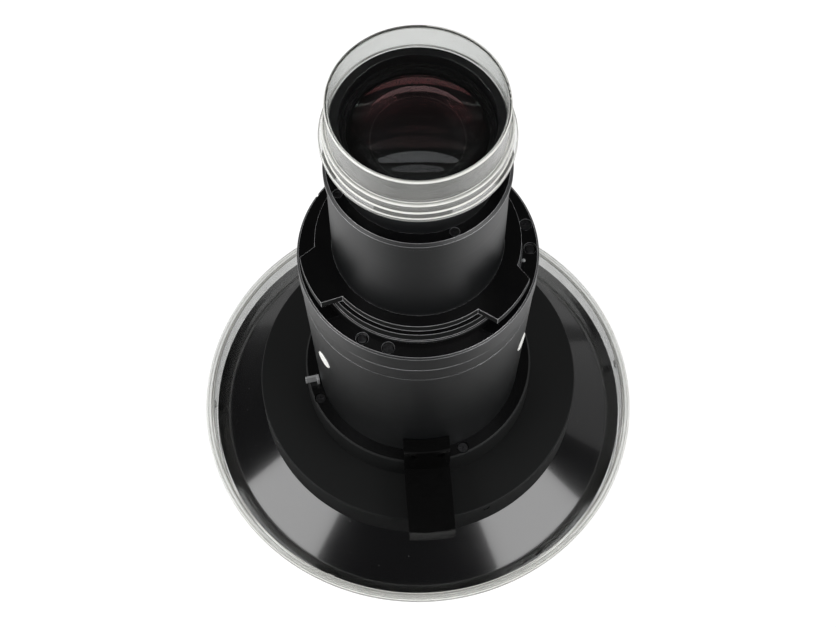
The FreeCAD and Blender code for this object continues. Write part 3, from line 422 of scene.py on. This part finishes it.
def clearSheet(name, haze):
    # clear vacuum-formed sheet: glass-like, with a milky haze where it was stretched
    look = {
        "color": "#F8F9F8", "haze": "#E4E4DF", "hazeRoughness": 0.3, "cloud": 9.0, "ior": 1.49,
        "thinnest": 0.8, "thickest": 1.2,
    }
    material, tree = blankMaterial(name)
    where = addNode(tree, "ShaderNodeTexCoord")
    cloud = addNode(
        tree, "ShaderNodeTexNoise", {"Scale": 1 / (look["cloud"] * mm), "Detail": 1.0},
        {"Vector": where.outputs["Object"]},
    )
    clear = addNode(
        tree, "ShaderNodeBsdfPrincipled",
        {
            "Base Color": linear(look["color"]), "Transmission Weight": 1.0, "IOR": look["ior"],
            "Roughness": 0.0,
        },
    )
    milky = addNode(
        tree, "ShaderNodeBsdfPrincipled",
        {"Base Color": linear(look["haze"]), "Roughness": look["hazeRoughness"]},
    )
    share = addNode(
        tree, "ShaderNodeMapRange", {"To Min": haze * look["thinnest"], "To Max": haze * look["thickest"]},
        {"Value": cloud.outputs["Fac"]},
    )
    shader = addNode(
        tree, "ShaderNodeMixShader",
        links={0: share.outputs[0], 1: clear.outputs[0], 2: milky.outputs[0]},
    )
    finishMaterial(tree, shader)
    return material


def coatedGlass(name, tint, reflection, clearness, ior):
    # multi-coated optical glass: dark to look into, with a coloured surface reflection
    material, tree = blankMaterial(name)
    body = addNode(
        tree, "ShaderNodeBsdfPrincipled",
        {
            "Base Color": linear(tint), "Transmission Weight": clearness, "IOR": ior, "Roughness": 0.0,
            "Specular Tint": linear(reflection),
        },
    )
    finishMaterial(tree, body)
    return material


def domePaintedRedReflection():
    # the domed rear glass with a painted reflection: its specular tint turns from grey to red towards its far
    # side (+Y), which paints on the red crescent it reflects
    look = {"tint": "#E4E8E6", "grey": "#E2E4E8", "red": "#FF9AA2", "from": -3.0, "to": 4.0, "ior": 1.55}
    material, tree = blankMaterial("rearGlassPaintedReflection")
    where = addNode(tree, "ShaderNodeTexCoord")
    apart = addNode(tree, "ShaderNodeSeparateXYZ", links={0: where.outputs["Object"]})
    share = addNode(
        tree, "ShaderNodeMapRange", {"From Min": look["from"] * mm, "From Max": look["to"] * mm},
        {"Value": apart.outputs["Y"]},
    )
    paintedReflectionTint = addNode(
        tree, "ShaderNodeMix", {6: linear(look["grey"]), 7: linear(look["red"])},
        {0: share.outputs[0]}, data_type="RGBA",
    )
    body = addNode(
        tree, "ShaderNodeBsdfPrincipled",
        {
            "Base Color": linear(look["tint"]), "Transmission Weight": 1.0, "IOR": look["ior"],
            "Roughness": 0.0,
        },
        {"Specular Tint": paintedReflectionTint.outputs[2]},
    )
    finishMaterial(tree, body)
    return material


satin = anodisedSatin("anodisedSatin", ior=1.58)
barrelSatin = anodisedSatin("anodisedBarrel", ior=1.7)
matt = anodisedMatt()
lacquer = glossLacquer()
gloss = anodisedGloss()
paint = semiGlossPaint()
steel = blackenedSteel()
aluminium = milledAluminium()
acetal = mouldedAcetal()
rubber = nitrileRubber()
# the rounded edges get a painted highlight
edgeHighlightPaint = paintedEdgeHighlight()
innerBlack = opticalBlack()
clearPlastic = clearSheet("clearSheet", haze=0.0)
hazyPlastic = clearSheet("stretchedSheet", haze=0.1)
cloudyPlastic = clearSheet("thickenedSheet", haze=0.26)
foldedPlastic = clearSheet("foldedSheet", haze=0.1)
creasedPlastic = clearSheet("creasedSheet", haze=0.8)
# the rear dome's red reflection is painted into its specular tint
domeReflectionPaint = domePaintedRedReflection()
redCoating = coatedGlass("coatedDoublet", "#E2E4E4", "#946468", clearness=1.0, ior=1.62)
# the inner glasses are opaque, and their grey colour is a painted sheen that stands in for the light seen
# inside the lens
paintedSheenGlass = coatedGlass("innerGlassPaintedSheen", "#464B4C", "#98A4A4", clearness=0.0, ior=1.6)
frontCoating = coatedGlass("coatedFrontGlass", "#08090A", "#8C9CB8", clearness=0.0, ior=1.52)
print("finishes made:", len(bpy.data.materials))


# making pieces

def place(name, mesh, materials, body, nodes, angle=30):
    # puts a finished bmesh into the scene as one piece that stands for its nodes
    data = bpy.data.meshes.new(name)
    mesh.to_mesh(data)
    mesh.free()
    for material in materials:
        data.materials.append(material)
    data.polygons.foreach_set("use_smooth", [True] * len(data.polygons))
    data.set_sharp_from_angle(angle=math.radians(angle))
    piece = bpy.data.objects.new(name, data)
    bpy.context.scene.collection.objects.link(piece)
    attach(piece, body)
    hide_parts(*nodes)
    shading = piece.modifiers.new("flatFaces", "WEIGHTED_NORMAL")
    shading.keep_sharp = True


def spun(profile, closed=True, steps=256):
    # turns a profile of (radius, height, rounding) corners in millimetres about the optical axis
    mesh = bmesh.new()
    corners = [mesh.verts.new((radius * mm, 0, height * mm)) for radius, height, _ in profile]
    pairs = list(zip(corners, corners[1:] + corners[:1]))
    if not closed:
        pairs.pop()
    for start, end in pairs:
        mesh.edges.new((start, end))
    widths = sorted({rounding for _, _, rounding in profile if rounding})
    byWidth = {w: [v for v, (_, _, r) in zip(corners, profile) if r == w] for w in widths}
    for width, group in byWidth.items():
        bmesh.ops.bevel(
            mesh, geom=group, offset=width * mm, segments=3, profile=0.5, affect="VERTICES",
            clamp_overlap=True, material=-1,
        )
    bmesh.ops.spin(
        mesh, geom=mesh.verts[:] + mesh.edges[:], cent=(0, 0, 0), axis=(0, 0, 1), angle=math.tau,
        steps=steps, use_merge=True, use_duplicate=False,
    )
    bmesh.ops.remove_doubles(mesh, verts=mesh.verts[:], dist=weld)
    bmesh.ops.recalc_face_normals(mesh, faces=mesh.faces[:])
    return mesh


# faces within the first angle are joined, edges past the second are rounded, and a face whose normal rises
# more than the last value faces up
dressing = {"sameFace": 0.6, "sharpEdge": 38.0, "facingUp": 0.95}


def dressed(node, side, top, rim, body, rounding):
    # the node's own shape, merged, with its sharp edges rounded: one finish for its sides, one for what faces
    # up and one for the rounded edges
    mesh = bmesh.new()
    mesh.from_mesh(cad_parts[node].data)
    bmesh.ops.remove_doubles(mesh, verts=mesh.verts[:], dist=weld)
    bmesh.ops.dissolve_limit(
        mesh, angle_limit=math.radians(dressing["sameFace"]), verts=mesh.verts[:], edges=mesh.edges[:],
    )
    limit = math.radians(dressing["sharpEdge"])
    sharp = [e for e in mesh.edges if len(e.link_faces) == 2 and e.calc_face_angle() > limit]
    rounded = set(bmesh.ops.bevel(
        mesh, geom=sharp, offset=rounding * mm, segments=2, profile=0.5, affect="EDGES",
        clamp_overlap=True, material=-1,
    )["faces"])
    for face in mesh.faces:
        face.material_index = 2 if face in rounded else 1 if face.normal.z > dressing["facingUp"] else 0
    place(node + "Shape", mesh, [side, top, rim], body, [node])


def arc(curve, apex, radius, steps, direction):
    # a spherical surface from the axis out to a radius, as corners of a profile
    points = []
    for i in range(steps + 1):
        r = radius * i / steps
        points.append((r, apex - direction * (curve - math.sqrt(curve * curve - r * r)), 0))
    return points


# a crease has faces smaller than this many millimetres, and a slope's normals rise between the two tilts
sheet = {"crease": 0.45, "wallTilt": 0.12, "flatTilt": 0.98}


def hazeFolds(mesh, clearRadius):
    # a drawn sheet stays clear in the middle, clouds along its wall and slopes and turns white at its creases
    for face in mesh.faces:
        reach = [math.hypot(v.co.x, v.co.y) / mm for v in face.verts]
        heights = [v.co.z / mm for v in face.verts]
        small = max(reach) - min(reach) < sheet["crease"] and max(heights) - min(heights) < sheet["crease"]
        folded = sheet["wallTilt"] < abs(face.normal.z) < sheet["flatTilt"]
        clear = sum(reach) / len(reach) < clearRadius
        face.material_index = 0 if clear else 1 if not folded else 3 if small else 2


lens = "lens"  # the body that everything but the two caps rides on

# front cap

frontCap = {
    "wall": 1.2, "lip": 2.9, "gap": 0.5, "clearMargin": 1.0,
    "nubs": (-178.0, 126.0, 66.0, 10.8, -53.8, -114.1), "nubSize": (0.9, 3.6, 3.4), "nubRound": 0.35,
    "nubOut": 0.45, "nubDrop": 2.2,
}


def makeFrontCap():
    lip, low, high = span("front_cap")
    hoodRadius = span("hood")[0]
    wall = frontCap["wall"]
    foot = hoodRadius + frontCap["gap"]
    top = lip - frontCap["lip"] - wall
    under = high - wall
    mesh = spun([
        (0, low, 0), (foot - wall / 2, low, 1.0), (foot + wall, wall, 0.8), (top + wall, under, 0.5),
        (lip - wall, under, 0.4), (lip - wall, under - wall, 0.2), (lip, under - wall, 0.2),
        (lip, high, 0.9), (top, high, 0.6), (foot, wall, 0.3), (0, wall, 0),
    ], closed=False)
    nubPlace = ((foot + frontCap["nubOut"]) * mm, 0, (under - frontCap["nubDrop"]) * mm)
    for angle in frontCap["nubs"]:
        # each snap nub is a small rounded block on the inside of the wall
        nub = bmesh.ops.create_cube(mesh, size=1.0)["verts"]
        bmesh.ops.scale(mesh, vec=[size * mm for size in frontCap["nubSize"]], verts=nub)
        edges = list({e for v in nub for e in v.link_edges})
        soft = bmesh.ops.bevel(
            mesh, geom=edges, offset=frontCap["nubRound"] * mm, segments=2, profile=0.5, affect="EDGES",
            material=-1,
        )
        nub = list({v for f in soft["faces"] for v in f.verts} | {v for v in nub if v.is_valid})
        bmesh.ops.translate(mesh, vec=nubPlace, verts=nub)
        bmesh.ops.rotate(mesh, cent=(0, 0, 0), matrix=turn(angle), verts=nub)
    hazeFolds(mesh, foot - frontCap["clearMargin"])
    place(
        "frontCapShell", mesh, [clearPlastic, cloudyPlastic, foldedPlastic, creasedPlastic], "front_cap_body",
        ["front_cap"],
    )


# hood

hood = {
    "front": 7.8, "land": 4.5, "landRise": 3.1, "rimLand": 3.8, "spigotWall": 3.0, "boreStart": 1.3,
    "mouthWall": 10 / 3, "mouthDepth": 6.3,
}


def makeHood():
    radius, low, high = span("hood")
    rim, rimLow, _ = span("front_housing")
    front = low + hood["front"]
    spigot = rim - hood["rimLand"]
    bore = spigot - hood["spigotWall"]
    mouth = radius - hood["mouthWall"]
    mesh = spun([
        (radius, low, 1.0), (radius, front, 0.35), (radius - hood["land"], front + hood["landRise"], 0.5),
        (rim, rimLow, 0), (spigot, rimLow, 0), (spigot, high, 0.4), (bore, high, 0.4),
        (bore, rimLow + hood["boreStart"], 0.6), (mouth, low + hood["mouthDepth"], 0.8), (mouth, low, 0.6),
    ])
    place("hoodShell", mesh, [lacquer], lens, ["hood"])


# main barrel; the rounding at its top takes a painted highlight where its normals rise between the last two
# values

barrel = {
    "footRadius": 49.2, "bore": 46.2, "grooveDrop": 10.4, "grooveWidth": 0.35, "grooveDepth": 0.25,
    "highlightFrom": 0.2, "highlightTo": 0.95,
}


def makeMainBarrel():
    # a fine turned groove runs round the barrel a little below its top
    top, low, high = span("main_barrel")
    foot = barrel["footRadius"]
    upper = high - barrel["grooveDrop"]
    lower = upper - barrel["grooveWidth"]

    def outside(height):
        return foot + (top - foot) * (height - low) / (high - low)

    mesh = spun([
        (barrel["bore"], low, 0), (foot, low, 0.2), (outside(lower), lower, 0.06),
        (outside(lower) - barrel["grooveDepth"], lower, 0),
        (outside(upper) - barrel["grooveDepth"], upper, 0),
        (outside(upper), upper, 0.06), (top, high, 0.4), (barrel["bore"], high, 0),
    ])
    # faces of the top rounding get the painted edge highlight
    for face in mesh.faces:
        face.material_index = 1 if barrel["highlightFrom"] < face.normal.z < barrel["highlightTo"] else 0
    place("mainBarrelSleeve", mesh, [barrelSatin, edgeHighlightPaint], lens, ["main_barrel"])


# rear barrel

rearBarrel = {"wall": 4.0, "recess": 36.1, "recessDepth": 3.5}


def makeRearBarrel():
    radius, low, high = span("rear_barrel")
    bore = radius - rearBarrel["wall"]
    step = high - rearBarrel["recessDepth"]
    mesh = spun([
        (bore, low, 0), (radius, low, 0.2), (radius, high, 0.15), (rearBarrel["recess"], high, 0.1),
        (rearBarrel["recess"], step, 0), (bore, step, 0),
    ])
    place("rearBarrelSleeve", mesh, [satin], lens, ["rear_barrel"])


# rear cell with its glass

cell = {
    "outside": 33.0, "flange": 3.5, "neck": 32.5, "neckTop": 8.0, "seat": 35.8, "seatTop": 2.0, "rim": 34.2,
    "bore": 30.6, "lip": 3.0, "clear": 26.2, "edgeRound": 0.4,
}


def makeRearCell():
    flange, low, high = span("rear_cell")
    end = span("rear_barrel")[2]
    seatLow = high - cell["neckTop"]
    seatHigh = high - cell["seatTop"]
    soft = cell["edgeRound"]
    mesh = spun([
        (cell["clear"], low, 0), (cell["outside"], low, 0.3), (cell["outside"], end - cell["flange"], 0),
        (flange, end - cell["flange"], 0.1), (flange, end, 0.1), (cell["neck"], end, 0),
        (cell["neck"], seatLow, 0.3), (cell["seat"], seatLow, soft), (cell["seat"], seatHigh, soft),
        (cell["rim"], seatHigh, 0.2), (cell["rim"], high, soft), (cell["bore"], high, soft),
        (cell["bore"], low + cell["lip"], 0), (cell["clear"], low + cell["lip"], 0.2),
    ])
    place("rearCellBody", mesh, [satin], lens, ["rear_cell"])


glasses = {"domeCurve": 46.0, "domeChamfer": 0.3, "doubletCurve": 60.0, "sideTilt": 0.5}


def blackenSide(mesh):
    # the ground side of a lens element is blackened
    for face in mesh.faces:
        face.material_index = 1 if abs(face.normal.z) < glasses["sideTilt"] else 0


def makeRearGlass():
    radius, low, high = span("rear_glass")
    chamfer = glasses["domeChamfer"]
    dome = arc(glasses["domeCurve"], high, radius - chamfer, steps=40, direction=1)
    side = [(radius, dome[-1][1] - chamfer, 0), (radius, low, 0.2), (0, low, 0)]
    mesh = spun(dome + side, closed=False, steps=192)
    blackenSide(mesh)
    place("rearGlassDome", mesh, [domeReflectionPaint, innerBlack], lens, ["rear_glass"], angle=20)


def makeDoublet():
    radius, low, high = span("rear_doublet")
    top = arc(glasses["doubletCurve"], high, radius, steps=24, direction=1)
    bottom = arc(glasses["doubletCurve"], low, radius, steps=24, direction=-1)
    mesh = spun(top + bottom[::-1], closed=False, steps=128)
    blackenSide(mesh)
    place("rearDoubletElement", mesh, [redCoating, innerBlack], lens, ["rear_doublet"], angle=20)


# rear cap

rearCap = {"wall": 1.0, "skirt": 37.1, "wallRadius": 35.6, "flare": 1.7, "clearMargin": 0.6}


def makeRearCap():
    lip, low, high = span("rear_cap")
    seat = span("rear_cell")[2] - cell["seatTop"]
    wall = rearCap["wall"]
    outer = rearCap["wallRadius"]
    skirt = rearCap["skirt"]
    flare = rearCap["flare"]
    mesh = spun([
        (0, high - wall, 0), (outer - wall, high - wall, 0.8), (outer - wall, seat, 0.2),
        (skirt - wall, seat, 0.5), (skirt - wall, low + wall + flare, 0.3), (lip - wall, low + wall, 0.2),
        (lip - wall, low, 0.2), (lip, low, 0.25), (lip, low + wall * 2, 0.3),
        (skirt, low + wall * 2 + flare, 0.5), (skirt, seat + wall, 0.7), (outer, seat + wall, 0.3),
        (outer, high, 0.9), (0, high, 0),
    ], closed=False)
    hazeFolds(mesh, outer - wall - rearCap["clearMargin"])
    place(
        "rearCapShell", mesh, [clearPlastic, hazyPlastic, foldedPlastic, creasedPlastic], "rear_cap_body",
        ["rear_cap"],
    )


makeFrontCap()
makeHood()
makeMainBarrel()
makeRearBarrel()
makeRearCell()
makeRearGlass()
makeDoublet()
makeRearCap()
print("turned pieces made")

# pieces that keep the frame's own shape, with rounded edges: node, finish of its sides, of what faces up and
# of its edges, slot, rounding in millimetres
softened = (
    ("front_housing", matt, matt, matt, "matt_black", 0.25),
    ("base_collar", matt, gloss, matt, "satin_black", 0.2),
    ("lock_bracket", paint, paint, paint, "bracket_black", 0.2),
    ("stop_plate", aluminium, aluminium, aluminium, "bare_aluminium", 0.15),
    ("side_plugs", acetal, acetal, acetal, "white_plastic", 0.5),
    # the flange, the bayonet ring and the retainer carry a painted highlight on their rounded edges
    ("mount_flange", satin, gloss, edgeHighlightPaint, "satin_black", 0.2),
    ("bayonet_ring", matt, gloss, edgeHighlightPaint, "bayonet_black", 0.3),
    ("rear_retainer", satin, gloss, edgeHighlightPaint, "satin_black", 0.1),
    ("rear_lock_ring", innerBlack, innerBlack, innerBlack, "inner_black", 0.15),
    ("flange_screws", steel, steel, steel, "black_steel", 0.12),
    ("collar_screws", steel, steel, steel, "black_steel", 0.12),
    ("retainer_screws", steel, steel, steel, "black_steel", 0.12),
    ("bracket_screws", steel, steel, steel, "black_steel", 0.12),
    ("rim_screws", steel, steel, steel, "black_steel", 0.1),
    ("flange_dowels", steel, steel, steel, "black_steel", 0.3),
    ("index_pin", aluminium, aluminium, aluminium, "bare_aluminium", 0.2),
)
for node, side, top, rim, slot, rounding in softened:
    dressed(node, side, top, rim, lens, rounding)
print("softened pieces made:", len(softened))

# what stays as the frame has it, with its finish
kept = {
    "front_glass": frontCoating, "front_seal": rubber, "front_lock_ring": innerBlack, "lens_tube": innerBlack,
    "inner_meniscus": paintedSheenGlass, "tube_spacer_front": innerBlack, "relay_glass_front": paintedSheenGlass,
    "tube_spacer_middle": innerBlack, "aperture_stop": innerBlack, "tube_spacer_rear": innerBlack,
    "relay_glass_rear": paintedSheenGlass, "tube_lock_ring": innerBlack, "field_glass": paintedSheenGlass,
    "cell_spacer": innerBlack, "rear_spacer": innerBlack,
}
for node, material in kept.items():
    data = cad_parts[node].data
    data.materials.clear()
    data.materials.append(material)


# room, lights and camera

def makeRoom():
    floorMesh = bmesh.new()
    bmesh.ops.create_grid(floorMesh, x_segments=1, y_segments=1, size=room["floorSize"] / 2)
    data = bpy.data.meshes.new("floor")
    floorMesh.to_mesh(data)
    floorMesh.free()
    floor = bpy.data.objects.new("floor", data)
    floor.location.z = -room["floorDrop"]
    bpy.context.scene.collection.objects.link(floor)
    material, tree = blankMaterial("paperFloor")
    rays = addNode(tree, "ShaderNodeLightPath")
    seen = addNode(
        tree, "ShaderNodeMath",
        links={0: rays.outputs["Is Camera Ray"], 1: rays.outputs["Is Transmission Ray"]},
        operation="MAXIMUM",
    )
    share = addNode(
        tree, "ShaderNodeMath", {1: room["whiteShare"]}, {0: seen.outputs[0]}, operation="MULTIPLY",
    )
    paper = addNode(tree, "ShaderNodeBsdfDiffuse", {"Color": linear(room["floorColor"])})
    white = addNode(tree, "ShaderNodeEmission", {"Strength": room["floorWhite"]})
    bright = addNode(
        tree, "ShaderNodeMixShader",
        links={0: share.outputs[0], 1: paper.outputs[0], 2: white.outputs[0]},
    )
    # what the gloss sees of the floor: dim before the lens, bright at both sides
    where = addNode(tree, "ShaderNodeTexCoord")
    apart = addNode(tree, "ShaderNodeSeparateXYZ", links={0: where.outputs["Object"]})
    across = addNode(tree, "ShaderNodeMath", links={0: apart.outputs["X"]}, operation="ABSOLUTE")
    away = addNode(tree, "ShaderNodeVectorMath", links={0: where.outputs["Object"]}, operation="LENGTH")
    aside = addNode(
        tree, "ShaderNodeMath", links={0: across.outputs[0], 1: away.outputs["Value"]}, operation="DIVIDE",
    )
    strength = addNode(
        tree, "ShaderNodeMapRange",
        {
            "From Min": room["frontEnds"], "From Max": room["sideStarts"], "To Min": room["glossFront"],
            "To Max": room["glossSide"],
        },
        {"Value": aside.outputs[0]},
    )
    dim = addNode(tree, "ShaderNodeEmission", links={"Strength": strength.outputs[0]})
    # a ray that came straight through the clear caps counts as glossy too, and takes the white floor
    mirrored = addNode(
        tree, "ShaderNodeMath",
        links={0: rays.outputs["Is Glossy Ray"], 1: rays.outputs["Is Transmission Ray"]},
        operation="SUBTRACT", use_clamp=True,
    )
    shader = addNode(
        tree, "ShaderNodeMixShader",
        links={0: mirrored.outputs[0], 1: bright.outputs[0], 2: dim.outputs[0]},
    )
    finishMaterial(tree, shader)
    data.materials.append(material)


def makeSky():
    world = bpy.data.worlds.new("studio")
    world.use_nodes = True
    bpy.context.scene.world = world
    tree = world.node_tree
    tree.nodes.clear()
    rays = addNode(tree, "ShaderNodeLightPath")
    bounced = addNode(
        tree, "ShaderNodeMath",
        links={0: rays.outputs["Is Glossy Ray"], 1: rays.outputs["Is Transmission Ray"]},
        operation="MAXIMUM",
    )
    fill = addNode(tree, "ShaderNodeBackground", {"Strength": room["skyDiffuse"]})
    dark = addNode(tree, "ShaderNodeBackground", {"Strength": room["skyGlossy"]})
    white = addNode(tree, "ShaderNodeBackground", {"Strength": 1.0})
    lit = addNode(
        tree, "ShaderNodeMixShader",
        links={0: bounced.outputs[0], 1: fill.outputs[0], 2: dark.outputs[0]},
    )
    sky = addNode(
        tree, "ShaderNodeMixShader",
        links={0: rays.outputs["Is Camera Ray"], 1: lit.outputs[0], 2: white.outputs[0]},
    )
    addNode(tree, "ShaderNodeOutputWorld", links={"Surface": sky.outputs[0]})


def makePanels():
    target = Vector((0, 0, room["panelTarget"]))
    for name, angle, lift, width, height, power, outline, use in panels:
        side = math.radians(angle)
        rise = math.radians(lift)
        direction = Vector((math.cos(side) * math.cos(rise), math.sin(side) * math.cos(rise), math.sin(rise)))
        light = bpy.data.lights.new(name, "AREA")
        light.shape = outline
        light.size = width
        light.size_y = height
        light.energy = power
        panel = bpy.data.objects.new(name, light)
        panel.location = target + direction * room["panelDistance"]
        panel.rotation_euler = (-direction).to_track_quat("-Z", "Y").to_euler()
        panel.visible_glossy = use == "shine"
        panel.visible_transmission = use == "shine"
        panel.visible_diffuse = use == "fill"
        bpy.context.scene.collection.objects.link(panel)


def makeCamera():
    data = bpy.data.cameras.new("photoCamera")
    data.sensor_width = 36.0
    data.lens = camera["focal"]
    view = bpy.data.objects.new("photoCamera", data)
    view.location = (0, -camera["back"] * mm, camera["height"] * mm)
    view.rotation_euler = (math.radians(camera["tilt"]), 0, 0)
    bpy.context.scene.collection.objects.link(view)
    bpy.context.scene.camera = view


makeRoom()
makeSky()
makePanels()
makeCamera()
bpy.context.scene.view_settings.view_transform = "Standard"
print("room, lights and camera made")
